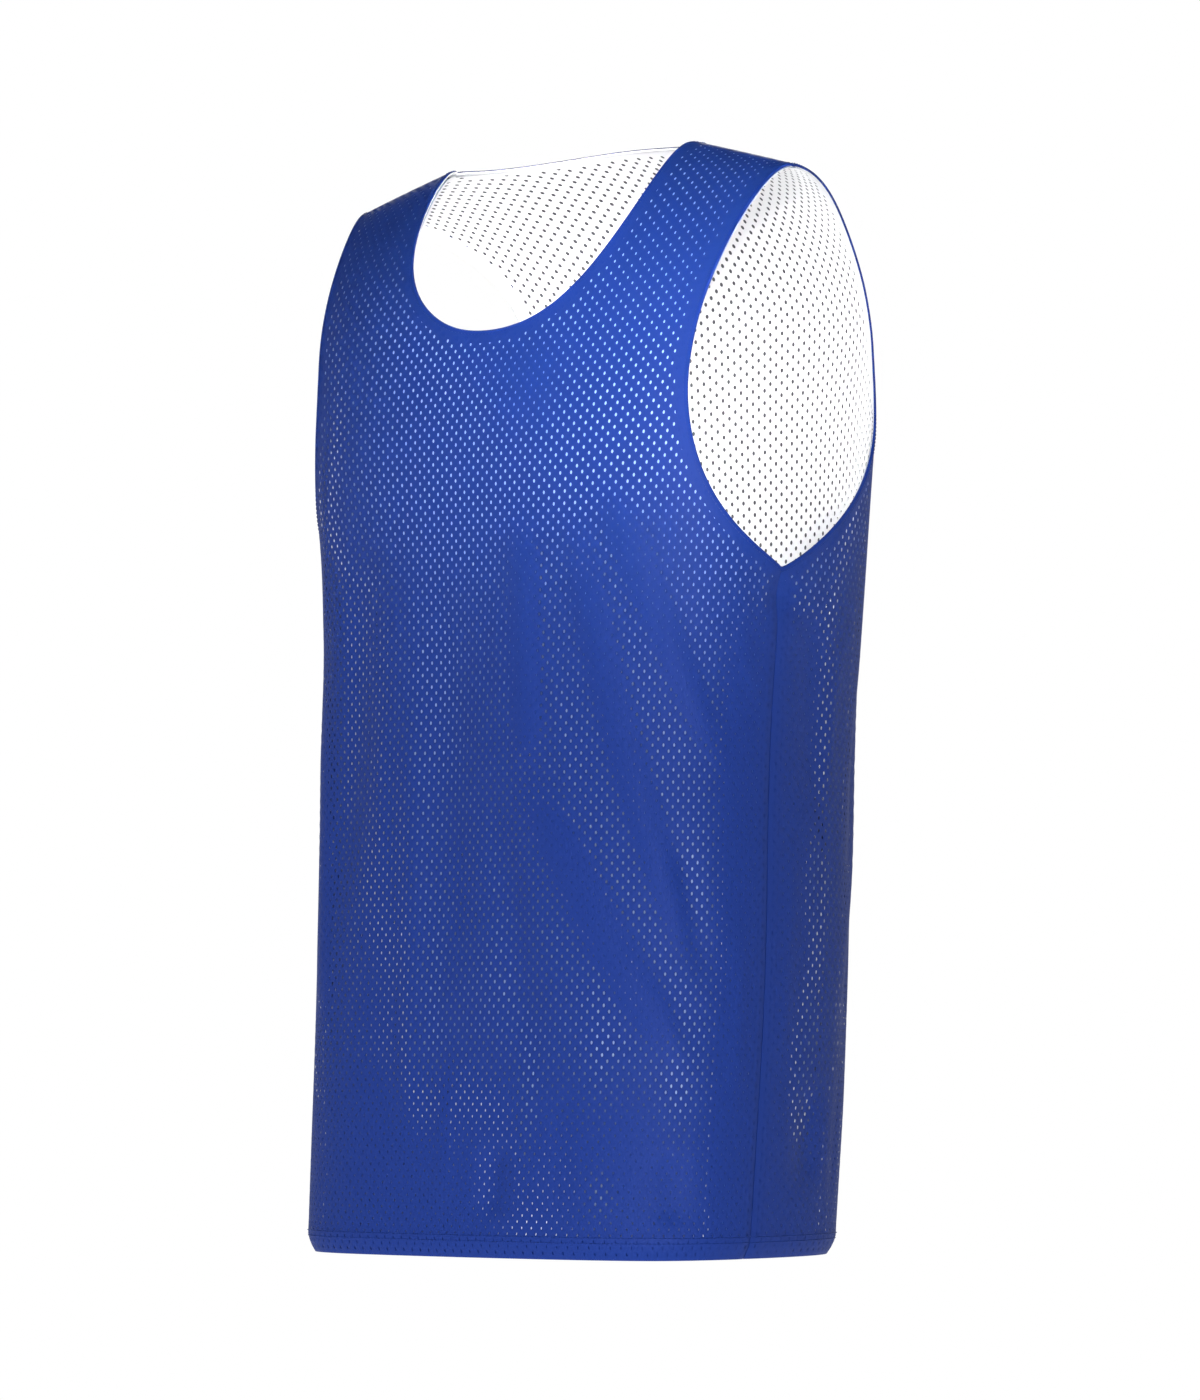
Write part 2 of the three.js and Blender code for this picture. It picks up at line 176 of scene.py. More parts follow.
finerFolds = {                  # shallow creases too fine for the solids
    "front": [
        (128, 470, 190, 330, -4, 7, 1.0, 0), (70, 420, 96, 300, 0, 6, 0.8, 0),
        (96, 300, 150, 190, 4, 7, -0.9, 0), (20, 470, 30, 360, 3, 7, 0.8, 0),
        (-88, 400, -84, 250, -3, 8, 0.9, 0), (150, 200, 190, 120, 0, 8, 0.9, 0),
        (-20, 130, -16, 30, 2, 9, 1.0, 0), (88, 120, 96, 24, 0, 9, -1.0, 0),
        (225, 250, 232, 90, 3, 8, 0.9, 0), (-150, 560, -176, 430, 3, 9, 0.9, 0),
        (60, 615, 96, 560, 0, 8, 0.7, 0), (216, 470, 236, 380, 0, 8, 0.9, 0),
    ],
    "back": [
        (285, 300, 292, 120, 0, 8, 0.9, 0), (236, 440, 248, 300, 3, 8, 0.9, 0),
        (90, 380, 118, 250, 0, 8, 0.9, 0), (-20, 420, -30, 250, 3, 8, -0.9, 0),
        (-176, 330, -160, 190, 0, 8, 0.9, 0), (-240, 460, -252, 340, 0, 9, 0.9, 0),
        (60, 120, 66, 30, 0, 9, 1.0, 0), (-40, 640, -70, 560, 0, 9, 0.8, 0),
        (150, 620, 170, 540, 0, 9, 0.8, 0), (210, 140, 216, 30, 0, 9, -1.0, 0),
    ],
}
hang = {
    "fade": 22.0, "ends": 0.31,
    "hemBand": 16.0, "hemStep": 1.5, "hemDraw": 6.0, "hemProud": 0.5,
    "seamDip": 1.1, "seamWidth": 2.2, "seamGap": 0.3, "shoulderDip": 0.6,
    "underarmDip": 3.4, "underarmWidth": 13, "underarmBelow": 19,
}


# How far along and across one fold a place is: a bell across its bowed middle line, dying at both ends.
def foldShape(fold, s, h):
    t = (h - fold["h0"]) / (fold["h1"] - fold["h0"])
    middle = fold["s0"] + (fold["s1"] - fold["s0"]) * t + fold["bow"] * 4 * t * (1 - t)
    return smooth(np.minimum(t, 1 - t) / hang["ends"]), (s - middle) / fold["width"]


# Sum of soft ridges and troughs, faded out at the side seams and the shoulders.
def foldHeight(panel, s, h, isOuter):
    height = np.zeros(np.broadcast(s, h).shape)
    for row in folds[panel["name"]] + finerFolds[panel["name"]]:
        fold = dict(zip(foldColumns, row))
        if isOuter or not fold["lift"]:
            along, across = foldShape(fold, s, h)
            height += fold["height"] * along * np.exp(-(across ** 2))
    side = smooth((panel["quarter"] - np.abs(s)) / hang["fade"])
    return height * side * smooth((topOf(panel, s) - h) / hang["fade"])


apart = {                       # mm between the layers, and where each part sets in and over how much cloth
    "sides": 4.6, "sidesReach": 62, "sidesOver": 26, "underarmAbove": 4, "underarmOver": 60,
    "low": 3.7, "lowTop": 215, "lowOver": 165, "hemBelow": 4, "hemOver": 16,
    "body": 1.4, "bodyTop": 535, "bodyOver": 90, "bodyFoot": 4, "footOver": 22,
    "shoulder": 1.2, "shoulderFoot": 690, "shoulderOver": 60, "strapFrom": 60, "strapOver": 40,
    "ridge": 6.5, "ridgeWidth": 1.15, "all": 0.8, "seamOver": 9,
}
# Soft ovals where the layers part more, or come together where the last value is below zero.
patchColumns = ("s", "h", "widthS", "widthH", "more")
patches = {
    "front": [
        (46, 606, 30, 40, 3.0), (-28, 415, 34, 90, -1.4), (160, 506, 32, 46, 2.4), (62, 104, 8, 50, -2.8),
        (124, 44, 12, 20, -2.6), (-104, 32, 46, 15, -0.8), (183, 128, 15, 44, -2.6), (187, 246, 10, 34, -1.4),
        (150, 70, 18, 26, 1.6), (-215, 260, 36, 230, 2.4), (-150, 620, 46, 70, 1.4), (18, 186, 26, 40, -0.8),
        (-92, 170, 30, 80, 1.2), (-31, 180, 8, 70, -1.6), (120, 150, 10, 46, -1.4), (160, 690, 20, 70, 2.6),
    ],
    "back": [
        (266, 130, 13, 64, -4.4), (262, 262, 12, 34, -2.8), (266, 480, 14, 36, -1.2), (40, 60, 40, 24, -3.0),
        (-120, 96, 24, 36, -3.4), (-60, 420, 40, 80, -1.2), (110, 300, 20, 60, -1.2),
    ],
}


# How far the white layer hangs back from the blue one: close at the chest, looser down the body and sides,
# and loosest behind the blue layer's own ridges, where the holes lose their white.
def layersApart(panel, s, h):
    a = apart
    sides = a["sides"] * smooth((np.abs(s) - panel["quarter"] + a["sidesReach"]) / a["sidesOver"])
    sides = sides * smooth((underarmHeight + a["underarmAbove"] - h) / a["underarmOver"])
    low = a["low"] * smooth((a["lowTop"] - h) / a["lowOver"]) * smooth((h + a["hemBelow"]) / a["hemOver"])
    loose = a["body"] * smooth((a["bodyTop"] - h) / a["bodyOver"])
    loose = loose * smooth((h - a["bodyFoot"]) / a["footOver"])
    tops = a["shoulder"] * smooth((h - a["shoulderFoot"]) / a["shoulderOver"])
    tops = tops * smooth((-s - a["strapFrom"]) / a["strapOver"])
    gap = np.maximum.reduce([sides, low, loose, tops])
    for row in folds[panel["name"]]:
        fold = dict(zip(foldColumns, row))
        if fold["lift"]:
            along, across = foldShape(fold, s, h)
            gap = np.maximum(gap, a["ridge"] * along * np.exp(-((across / a["ridgeWidth"]) ** 4)))
    for row in patches[panel["name"]]:
        patch = dict(zip(patchColumns, row))
        gap = gap + patch["more"] * np.exp(-(((s - patch["s"]) / patch["widthS"]) ** 2)
                                           - ((h - patch["h"]) / patch["widthH"]) ** 2)
    return (np.maximum(gap, 0) + a["all"]) * smooth((panel["quarter"] - np.abs(s)) / a["seamOver"])


drawnUp = {"close": 0.72, "gap": 5.0, "from": 0.25}
# Soft ovals where the pull of the straps and the neck closes the blue holes.
tightColumns = ("s", "h", "widthS", "widthH", "close")
tightPlaces = {
    "front": [
        (160, 690, 22, 74, 0.55), (135, 800, 70, 34, 0.38), (-118, 752, 64, 54, 0.60),
        (34, 628, 44, 22, 0.40), (108, 696, 42, 68, 0.46),
    ],
    "back": [(0, 800, 240, 26, 0.25)],
}


# Share of its width that a blue hole keeps. Where the layers part the cloth is drawn up and its holes close,
# and so they do where it is pulled tight.
def holeWidth(panel, s, h):
    width = 1 - drawnUp["close"] * smooth(layersApart(panel, s, h) / drawnUp["gap"] - drawnUp["from"])
    for row in tightPlaces[panel["name"]]:
        place = dict(zip(tightColumns, row))
        width = width * (1 - place["close"] * np.exp(-(((s - place["s"]) / place["widthS"]) ** 2)
                                                     - ((h - place["h"]) / place["widthH"]) ** 2))
    return width


# The worn form moved out along its normal by the offset, the folds, the hem's draw and the seam's dip.
def onCloth(panel, s, h, offset, isOuter=True):
    s, h = np.broadcast_arrays(np.asarray(s, float), np.asarray(h, float))
    t = np.maximum(1 - h / (hang["hemBand"] + hang["hemStep"]), 0)
    dip = hang["seamDip"] * np.exp(-(((panel["quarter"] - np.abs(s)) / hang["seamWidth"]) ** 2))
    dip = dip + hang["shoulderDip"] * np.exp(-(((topOf(panel, s) - h) / hang["seamWidth"]) ** 2))
    wide = hang["underarmWidth"]
    dip = dip + hang["underarmDip"] * np.exp(
        -(((panel["quarter"] - np.abs(s)) / wide) ** 2)
        - ((h - underarmHeight + hang["underarmBelow"]) / wide) ** 2)
    raised = offset + foldHeight(panel, s, h, isOuter) - hang["hemDraw"] * t ** 2 - dip
    return body(panel, s, h) + outward(panel, s, h) * raised[..., None]


# outlines on the flat panel

# Where on the flat panel the shoulder line lies x mm sideways: the ring's formula read backwards.
def acrossAt(panel, x):
    places = np.linspace(0, panel["quarter"], 4000)
    return float(np.interp(x, ringX(shoulder["half"], ringAngle(panel, places)), places))


# A cubic curve from the first point to the last, drawn toward the two between.
def bezier(p0, p1, p2, p3, count=160):
    t = np.linspace(0, 1, count)[:, None]
    p0, p1, p2, p3 = (np.array(p, float) for p in (p0, p1, p2, p3))
    return (1 - t) ** 3 * p0 + 3 * (1 - t) ** 2 * t * p1 + 3 * (1 - t) * t * t * p2 + t ** 3 * p3


# A step down from the shoulder line and square to it.
def offShoulder(panel, s, distance):
    fall = topOf(panel, s + 0.5) - topOf(panel, s - 0.5)
    return np.array([fall, -1.0]) * distance / math.hypot(fall, 1)


# Half neckline from the neck point to the middle line: one curve, square to the shoulder and the middle.
def neckline(panel):
    s = acrossAt(panel, neckPointX)
    top = np.array([s, topOf(panel, s)])
    lowest = top[1] - panel["neck"]["drop"]
    steep = top + offShoulder(panel, s, panel["neck"]["steep"])
    return bezier(top, steep, (panel["neck"]["flat"], lowest), (0, lowest))


# Half armhole from the shoulder tip past its narrowest place to the underarm: two curves.
def armholeLine(panel):
    s = acrossAt(panel, shoulderTipX)
    top = np.array([s, topOf(panel, s)])
    size = panel["armhole"]
    across = acrossAt(panel, size["across"])
    narrow = top[1] - size["narrow"]
    handle = size["narrow"] * armholeHandle
    foot = (panel["quarter"] - size["foot"], underarmHeight + size["foot"] * underarmSlope)
    upper = bezier(top, top + offShoulder(panel, s, handle), (across, narrow + handle), (across, narrow))
    lower = bezier((across, narrow), (across, narrow - size["reach"]), foot,
                   (panel["quarter"], underarmHeight))
    return np.vstack([upper, lower[1:]])


# Evenly spaced points on an outline and the direction into the cloth, 1 mm long on the worn form.
def stations(panel, line, spacing, turn, lastInward):
    along = np.r_[0, np.cumsum(np.linalg.norm(np.diff(line, axis=0), axis=1))]
    count = max(int(round(along[-1] / spacing)), 2)
    places = np.linspace(0, along[-1], count + 1)
    points = np.stack([np.interp(places, along, line[:, k]) for k in (0, 1)], -1)
    tangent = np.gradient(points, axis=0)
    tangent /= np.linalg.norm(tangent, axis=1, keepdims=True)
    inward = np.stack([-tangent[:, 1], tangent[:, 0]], -1) * turn
    inward[-1] = lastInward
    there = points + inward
    moved = body(panel, there[:, 0], there[:, 1]) - body(panel, points[:, 0], points[:, 1])
    stretch = np.linalg.norm(moved, axis=1)
    stretch[-1] = 1
    return points, inward / stretch[:, None]


# Stations all round the neck or a left armhole, as a list of (panel, points, inward, mirror).
def edgeLoop(kind, spacing):
    if kind == "neck":
        halves = {p["name"]: stations(p, neckline(p), spacing, 1, (0, -1)) for p in (front, back)}
        order = [(front, 1, False), (front, -1, True), (back, -1, False), (back, 1, True)]
    else:
        mitre = (0, -math.hypot(1, underarmSlope))
        halves = {p["name"]: stations(p, armholeLine(p), spacing, -1, mitre) for p in (front, back)}
        order = [(front, 1, False), (back, 1, True)]
    runs = []
    for panel, mirror, backwards in order:
        points, inward = halves[panel["name"]]
        points = points[::-1] if backwards else points
        inward = inward[::-1] if backwards else inward
        runs.append((panel, points[:-1], inward[:-1], mirror))
    return runs


# Rows of points round an edge: at each station, the cloth at the given distances in and offsets out.
def edgeSurface(kind, mirror, spacing, across, offsets):
    rows = []
    for panel, points, inward, side in edgeLoop(kind, spacing):
        s = points[:, 0, None] + inward[:, 0, None] * across
        h = points[:, 1, None] + inward[:, 1, None] * across
        rows.append(onCloth(panel, s * side * mirror, h, offsets))
    return np.vstack(rows)


# meshes

# A mesh object at the origin from points in mm, and its UV map in metres of flat cloth.
def makePiece(name, points, faces, uv, materials):
    mesh = bpy.data.meshes.new(name)
    faces = [np.asarray(f, np.int32) for f in (faces if isinstance(faces, list) else [faces]) if len(f)]
    sizes = np.concatenate([np.full(len(f), f.shape[1], np.int32) for f in faces])
    loops = np.concatenate([f.ravel() for f in faces])
    starts = np.r_[0, np.cumsum(sizes)[:-1]].astype(np.int32)
    mesh.vertices.add(len(points))
    mesh.vertices.foreach_set("co", np.ascontiguousarray(points * mm, np.float32).ravel())
    mesh.loops.add(len(loops))
    mesh.loops.foreach_set("vertex_index", loops)
    mesh.polygons.add(len(sizes))
    mesh.polygons.foreach_set("loop_start", starts)
    mesh.polygons.foreach_set("loop_total", sizes)
    mesh.polygons.foreach_set("use_smooth", np.ones(len(sizes), bool))
    layer = mesh.uv_layers.new(name="cloth")
    layer.data.foreach_set("uv", np.ascontiguousarray(uv[loops] * mm, np.float32).ravel())
    mesh.update(calc_edges=True)
    mesh.validate()
    for material in materials:
        mesh.materials.append(material)
    piece = bpy.data.objects.new(name, mesh)
    bpy.context.scene.collection.objects.link(piece)
    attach(piece, "root")
    return piece


# Four-sided faces of a grid of points, joined round to its start when it is closed.
def gridFaces(rows, columns, closed=False, flip=False):
    j = np.arange(rows if closed else rows - 1)[:, None]
    i = np.arange(columns - 1)[None, :]
    k = (j + 1) % rows
    quads = np.stack([j * columns + i, j * columns + i + 1, k * columns + i + 1, k * columns + i], -1)
    quads = quads.reshape(-1, 4)
    return quads[:, ::-1] if flip else quads


# knit net

netSizes = {                    # a white layer's holes fall between the blue layer's, and so never line up
    "outerFront": {"pitchS": 8.45, "pitchH": 8.5, "holeS": 0.82, "holeH": 1.32, "offset": -0.3, "edge": 1.0,
                   "start": 0.0, "corner": 0.24, "rim": -0.20},
    "innerFront": {"pitchS": 8.45, "pitchH": 8.5, "holeS": 0.60, "holeH": 0.95, "offset": -1.7, "edge": 1.6,
                   "start": 4.25, "corner": -0.2, "rim": 0.16},
    "outerBack": {"pitchS": 9.2, "pitchH": 9.0, "holeS": 0.86, "holeH": 1.36, "offset": -0.3, "edge": 1.0,
                  "start": 0.0, "corner": 0.24, "rim": -0.20},
    "innerBack": {"pitchS": 9.2, "pitchH": 9.0, "holeS": 1.12, "holeH": 1.68, "offset": -1.7, "edge": 1.6,
                  "start": 4.5, "corner": -0.2, "rim": 0.16},
}
trimBelow = 30                  # the outlines are looked for from this far under the underarm up
# A narrowed hole keeps a set share of its height and a share that follows its width. The last value is the
# area of its eight-sided outline for half sizes of one.
holeShape = {"height": 0.4, "heightByWidth": 0.6, "areaShare": 2.83}


# For each point, the nearest point on a polyline, and the side: positive where the cloth is.
def nearestOnLine(points, line):
    a, b = line[:-1], line[1:]
    d = b - a
    t = ((points[:, None] - a) * d).sum(-1) / (d * d).sum(-1)
    foot = a + np.clip(t, 0, 1)[..., None] * d
    away = points[:, None] - foot
    k = (away ** 2).sum(-1).argmin(1)
    rows = np.arange(len(points))
    near, gap, along = foot[rows, k], away[rows, k], d[k]
    side = along[:, 0] * gap[:, 1] - along[:, 1] * gap[:, 0]
    return near, np.linalg.norm(gap, axis=1), side, along / np.linalg.norm(along, axis=1, keepdims=True)


# Moves the places that lie past the neckline, an armhole or the shoulder onto that line's margin.
# Gives the places, which of them were inside, and which were moved.
def trimmedToOutline(panel, places, margin):
    places = places.copy()
    mirror = np.where(places[:, 0] < 0, -1.0, 1.0)
    half = places * np.stack([mirror, np.ones(len(places))], -1)
    inside = np.ones(len(places), bool)
    moved = np.zeros(len(places), bool)
    lines = ((neckline(panel), 1.0), (armholeLine(panel), -1.0))
    index = np.nonzero(half[:, 1] > underarmHeight - trimBelow)[0]
    for line, turn in lines:
        near, gap, side, along = nearestOnLine(half[index], line)
        gap = gap * np.where(side * turn > 0, 1.0, -1.0)
        past = gap < margin
        inward = np.stack([-along[:, 1], along[:, 0]], -1) * turn
        target = near + inward * margin
        rows = index[past]
        half[rows] = target[past]
        moved[rows] = True
        inside[rows] = False
    half[:, 0] = np.clip(half[:, 0], 0, panel["quarter"])
    top = topOf(panel, half[:, 0])
    over = half[:, 1] > top
    half[over, 1] = top[over]
    moved |= over
    inside &= ~over
    return half * np.stack([mirror, np.ones(len(half))], -1), inside, moved


# A net of oval holes in staggered rows. Each hole sits in a diamond whose corners it shares, and has eight
# points: one toward each corner of its diamond and one toward each side.
def knitNet(name, panel, size, material, isOuter):
    across = int(round(panel["quarter"] / (size["pitchS"] / 2)))
    stepS = (panel["quarter"] - hang["seamGap"]) / across
    stepH = size["pitchH"] / 2
    up = int(math.ceil((topOf(panel, np.array([0.0]))[0] - size["start"]) / stepH)) + 1
    c, r = np.meshgrid(np.arange(-across, across + 1), np.arange(up + 1), indexing="ij")
    corner = (c + r) % 2 == 1
    places = np.stack([c[corner] * stepS, size["start"] + r[corner] * stepH], -1)
    number = np.full(c.shape, -1)
    number[corner] = np.arange(corner.sum())
    trimmed, inside, moved = trimmedToOutline(panel, places, size["edge"])

    cell = (~corner) & (np.abs(c) < across) & (r > 0) & (r < up)
    i, j = np.nonzero(cell)
    ring = np.stack([number[i + 1, j], number[i, j + 1], number[i - 1, j], number[i, j - 1]], -1)
    ring = ring[inside[ring].any(1)]
    whole = ~moved[ring].any(1)
    holed, plain = ring[whole], ring[~whole]

    centre = trimmed[holed].mean(1)
    turn = np.arange(8) * np.pi / 4
    oval = np.stack([size["holeS"] * np.cos(turn), size["holeH"] * np.sin(turn)], -1)
    width = holeWidth(panel, centre[:, 0], centre[:, 1]) if isOuter else np.ones(len(centre))
    squeeze = np.stack([width, holeShape["height"] + holeShape["heightByWidth"] * width], -1)
    rims = centre[:, None] + oval * squeeze[:, None]
    rimNumber = len(trimmed) + np.arange(len(holed) * 8).reshape(-1, 8)
    parts = []
    for k in range(4):
        here = rimNumber[:, 2 * k]
        after = rimNumber[:, 2 * k + 1]
        before = rimNumber[:, (2 * k - 1) % 8]
        thisCorner, nextCorner = holed[:, k], holed[:, (k + 1) % 4]
        parts += [np.stack([thisCorner, here, before], -1), np.stack([thisCorner, after, here], -1),
                  np.stack([thisCorner, nextCorner, after], -1)]
    for a, b, d in ((0, 1, 2), (0, 2, 3)):
        parts.append(plain[:, [a, b, d]])
    sides = []
    for edge, toward in ((across, -1), (-across, 1)):
        rows = np.arange(1, up)
        rows = rows[(edge + rows) % 2 == 0]
        ci = edge + across
        tri = np.stack([number[ci, rows - 1], number[ci, rows + 1], number[ci + toward, rows]], -1)
        sides.append(tri if toward < 0 else tri[:, ::-1])
    columns = np.arange(1 - across, across)
    columns = columns[columns % 2 == 0] + across
    sides.append(np.stack([number[columns - 1, 0], number[columns + 1, 0], number[columns, 1]], -1))
    sides = np.vstack(sides)
    parts.append(sides[inside[sides].any(1)])
    triangles = np.vstack(parts)

    flat = np.vstack([trimmed, rims.reshape(-1, 2)])
    raised = np.r_[np.full(len(trimmed), size["corner"]), np.full(rims.shape[0] * 8, size["rim"])]
    used = np.unique(triangles)
    renumber = np.full(len(flat), -1)
    renumber[used] = np.arange(len(used))
    triangles, flat, raised = renumber[triangles], flat[used], raised[used]
    s, h = flat[:, 0], flat[:, 1]
    offset = size["offset"] + raised
    if isOuter:
        offset = offset + hang["hemProud"] * smooth((hang["hemBand"] + hang["hemStep"] - h) / hang["hemStep"])
    else:
        offset = offset - layersApart(panel, s, h)
    points = onCloth(panel, s, h, offset, isOuter)
    if (panel["toward"] > 0) == isOuter:       # the white layer's right side faces the wearer
        triangles = triangles[:, ::-1]
    p = flat[triangles]
    area = 0.5 * np.abs(np.cross(p[:, 1] - p[:, 0], p[:, 2] - p[:, 0])).sum()
    cut = area + squeeze.prod(1).sum() * holeShape["areaShare"] * size["holeS"] * size["holeH"]
    piece = makePiece(name, points, triangles, flat, [material])
    print(name, len(triangles), "triangles,", len(holed), "holes, cut area", round(cut * 1e-6, 3))
    return piece, cut * 1e-6                        # in square metres


# materials

# A node group with number sockets: the inputs with their starting values, and the outputs.
def newGroup(name, inputs, outputs):
    group = bpy.data.node_groups.new(name, "ShaderNodeTree")
    for label, value in inputs.items():
        socket = group.interface.new_socket(label, in_out="INPUT", socket_type="NodeSocketFloat")
        socket.default_value = value
    for label in outputs:
        group.interface.new_socket(label, in_out="OUTPUT", socket_type="NodeSocketFloat")
    return group, group.nodes.new("NodeGroupInput"), group.nodes.new("NodeGroupOutput")


# One math operation on numbers or on other nodes' results.
def mathNode(tree, operation, *values):
    node = tree.nodes.new("ShaderNodeMath")
    node.operation = operation
    for k, value in enumerate(values):
        if isinstance(value, (int, float)):
            node.inputs[k].default_value = value
        else:
            tree.links.new(value, node.inputs[k])
    return node.outputs[0]


# contrast and lift: how far the painted groove shade darkens the knit's tone
knitLook = {"lean": 1.4, "ribs": 0.65, "loops": 0.35, "patchScale": 60.0, "patchDetail": 3.0,
            "contrast": 0.55, "lift": 0.55}


# Fine knit on the cloth's own UV, in metres: upright ribs (wales) crossed by rows of loops (courses). Each is
# the size of a sine, the loops lean where the ribs stand up, and the shade is their sum with soft patches.
# The tone is painted darker in the grooves between ribs and loops, which is painted shade; the soft patches
# are the cloth's own uneven tone.
def knitGroup():
    group, source, result = newGroup("knitLoops", {"Wale": 1.05, "Course": 0.85, "Mottle": 0.1},
                                     ("Loops", "Shade"))
    coordinates = group.nodes.new("ShaderNodeUVMap")
    coordinates.uv_map = "cloth"
    axes = group.nodes.new("ShaderNodeSeparateXYZ")
    group.links.new(coordinates.outputs["UV"], axes.inputs[0])
    across = mathNode(group, "MULTIPLY", axes.outputs["X"], 1000.0)
    up = mathNode(group, "MULTIPLY", axes.outputs["Y"], 1000.0)
    wale = mathNode(group, "DIVIDE", across, source.outputs["Wale"])
    ribs = mathNode(group, "ABSOLUTE", mathNode(group, "SINE", mathNode(group, "MULTIPLY", wale, math.pi)))
    course = mathNode(group, "DIVIDE", up, source.outputs["Course"])
    rows = mathNode(group, "MULTIPLY", course, math.pi)
    leaning = mathNode(group, "ADD", rows, mathNode(group, "MULTIPLY", ribs, knitLook["lean"]))
    loops = mathNode(group, "ABSOLUTE", mathNode(group, "SINE", leaning))
    mostlyRibs = mathNode(group, "MULTIPLY", ribs, knitLook["ribs"])
    height = mathNode(group, "ADD", mostlyRibs, mathNode(group, "MULTIPLY", loops, knitLook["loops"]))
    noise = group.nodes.new("ShaderNodeTexNoise")
    noise.inputs["Scale"].default_value = knitLook["patchScale"]
    noise.inputs["Detail"].default_value = knitLook["patchDetail"]
    group.links.new(coordinates.outputs["UV"], noise.inputs["Vector"])
    uneven = mathNode(group, "SUBTRACT", noise.outputs[0], 0.5)
    mottle = mathNode(group, "MULTIPLY", uneven, source.outputs["Mottle"])
    # painted shade: the tone is darker where the ribs and loops sink, in the grooves
    paintedGrooveShade = mathNode(group, "MULTIPLY", height, knitLook["contrast"])
    shade = mathNode(group, "ADD", mathNode(group, "ADD", paintedGrooveShade, knitLook["lift"]), mottle)
    group.links.new(height, result.inputs["Loops"])
    group.links.new(shade, result.inputs["Shade"])
    return group


knitLoops = knitGroup()


# Knit polyester: two close tones mixed by the loops, a bump of the loops and a soft sheen. The net's wrong
# side has a tone of painted shade, for the dim light in the gap between the layers, which shows through the
# other layer's holes, and from below at the hem.
def clothMaterial(name, look, paintedWrongSide=None):
    material = bpy.data.materials.new(name)
    material.use_nodes = True
    tree = material.node_tree
    surface = tree.nodes["Principled BSDF"]
    loops = tree.nodes.new("ShaderNodeGroup")
    loops.node_tree = knitLoops
    for socket in ("Wale", "Course", "Mottle"):
        loops.inputs[socket].default_value = look[socket.lower()]
    tone = tree.nodes.new("ShaderNodeMix")
    tone.data_type = "RGBA"
    tone.inputs["A"].default_value = (*look["deep"], 1)
    tone.inputs["B"].default_value = (*look["bright"], 1)
    # the tones are mixed by the painted groove shade and the cloth's own patches
    tree.links.new(loops.outputs["Shade"], tone.inputs["Factor"])
    colour = tone.outputs["Result"]
    # faces seen from behind get the wrong side's painted-shade tone
    if paintedWrongSide:
        side = tree.nodes.new("ShaderNodeNewGeometry")
        either = tree.nodes.new("ShaderNodeMix")
        either.data_type = "RGBA"
        either.inputs["B"].default_value = (*paintedWrongSide, 1)
        tree.links.new(side.outputs["Backfacing"], either.inputs["Factor"])
        tree.links.new(colour, either.inputs["A"])
        colour = either.outputs["Result"]
    tree.links.new(colour, surface.inputs["Base Color"])
    bump = tree.nodes.new("ShaderNodeBump")
    bump.inputs["Strength"].default_value = look["bump"]
    bump.inputs["Distance"].default_value = look["relief"] * mm
    tree.links.new(loops.outputs["Loops"], bump.inputs["Height"])
    tree.links.new(bump.outputs["Normal"], surface.inputs["Normal"])
    for socket, key in (("Roughness", "roughness"), ("Specular IOR Level", "specular"),
                        ("Sheen Weight", "sheen"), ("Sheen Roughness", "sheenRoughness")):
        surface.inputs[socket].default_value = look[key]
    surface.inputs["Sheen Tint"].default_value = (*look["sheenTint"], 1)
    return material


blueLook = {"deep": (0.0045, 0.015, 0.104), "bright": (0.009, 0.0285, 0.178), "wale": 1.05, "course": 0.85,
            "mottle": 0.12, "bump": 0.55, "relief": 0.25, "roughness": 0.5, "specular": 0.06,
            "sheen": 0.03, "sheenRoughness": 0.45, "sheenTint": (0.2, 0.4, 1.0)}
edgeLook = {**blueLook, "deep": (0.003, 0.014, 0.10), "bright": (0.007, 0.026, 0.175)}
whiteLook = {"deep": (0.84, 0.85, 0.86), "bright": (0.95, 0.95, 0.96), "wale": 1.1, "course": 0.9,
             "mottle": 0.05, "bump": 0.35, "relief": 0.2, "roughness": 0.7, "specular": 0.3,
             "sheen": 0.2, "sheenRoughness": 0.45, "sheenTint": (1.0, 1.0, 1.0)}
# Painted shade: the blue thread is a little darker than the cloth, for the shade in the grooves that the
# stitches pull into the cloth.
threadGrooveShadeLook = {**blueLook, "deep": (0.003, 0.011, 0.085), "bright": (0.006, 0.022, 0.15), "wale": 0.3,
              "course": 0.4, "bump": 0.3, "relief": 0.08, "roughness": 0.4, "sheen": 0.1}
whiteThreadLook = {**whiteLook, "wale": 0.3, "course": 0.4, "bump": 0.3, "relief": 0.08, "roughness": 0.45}

# Painted shade: each net's wrong side faces the gap between the layers and is given the dim light there as
# its colour, a bluish grey-white for the white net and a grey for the blue net.
wrongSidePaintedShades = {"blue": (0.11, 0.113, 0.125), "white": (0.50, 0.60, 0.78)}

blueCloth = clothMaterial("royalMesh", blueLook, wrongSidePaintedShades["blue"])
blueEdge = clothMaterial("royalEdge", edgeLook)
whiteCloth = clothMaterial("whiteMesh", whiteLook, wrongSidePaintedShades["white"])
whiteEdge = clothMaterial("whiteEdge", whiteLook)
blueThread = clothMaterial("royalThread", threadGrooveShadeLook)
whiteThread = clothMaterial("whiteThread", whiteThreadLook)
print("materials made")


# pieces

nets = {}
cuts = {}
for panel in (front, back):
    label = panel["name"].capitalize()
    nets["outer" + label], cuts["outer" + label] = knitNet(
        "outer" + label + "Net", panel, netSizes["outer" + label], blueCloth, True)
    nets["inner" + label], cuts["inner" + label] = knitNet(
        "inner" + label + "Net", panel, netSizes["inner" + label], whiteCloth, False)
    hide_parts("outer_" + panel["name"])
    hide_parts("inner_" + panel["name"])
print("nets made")


# turned edges

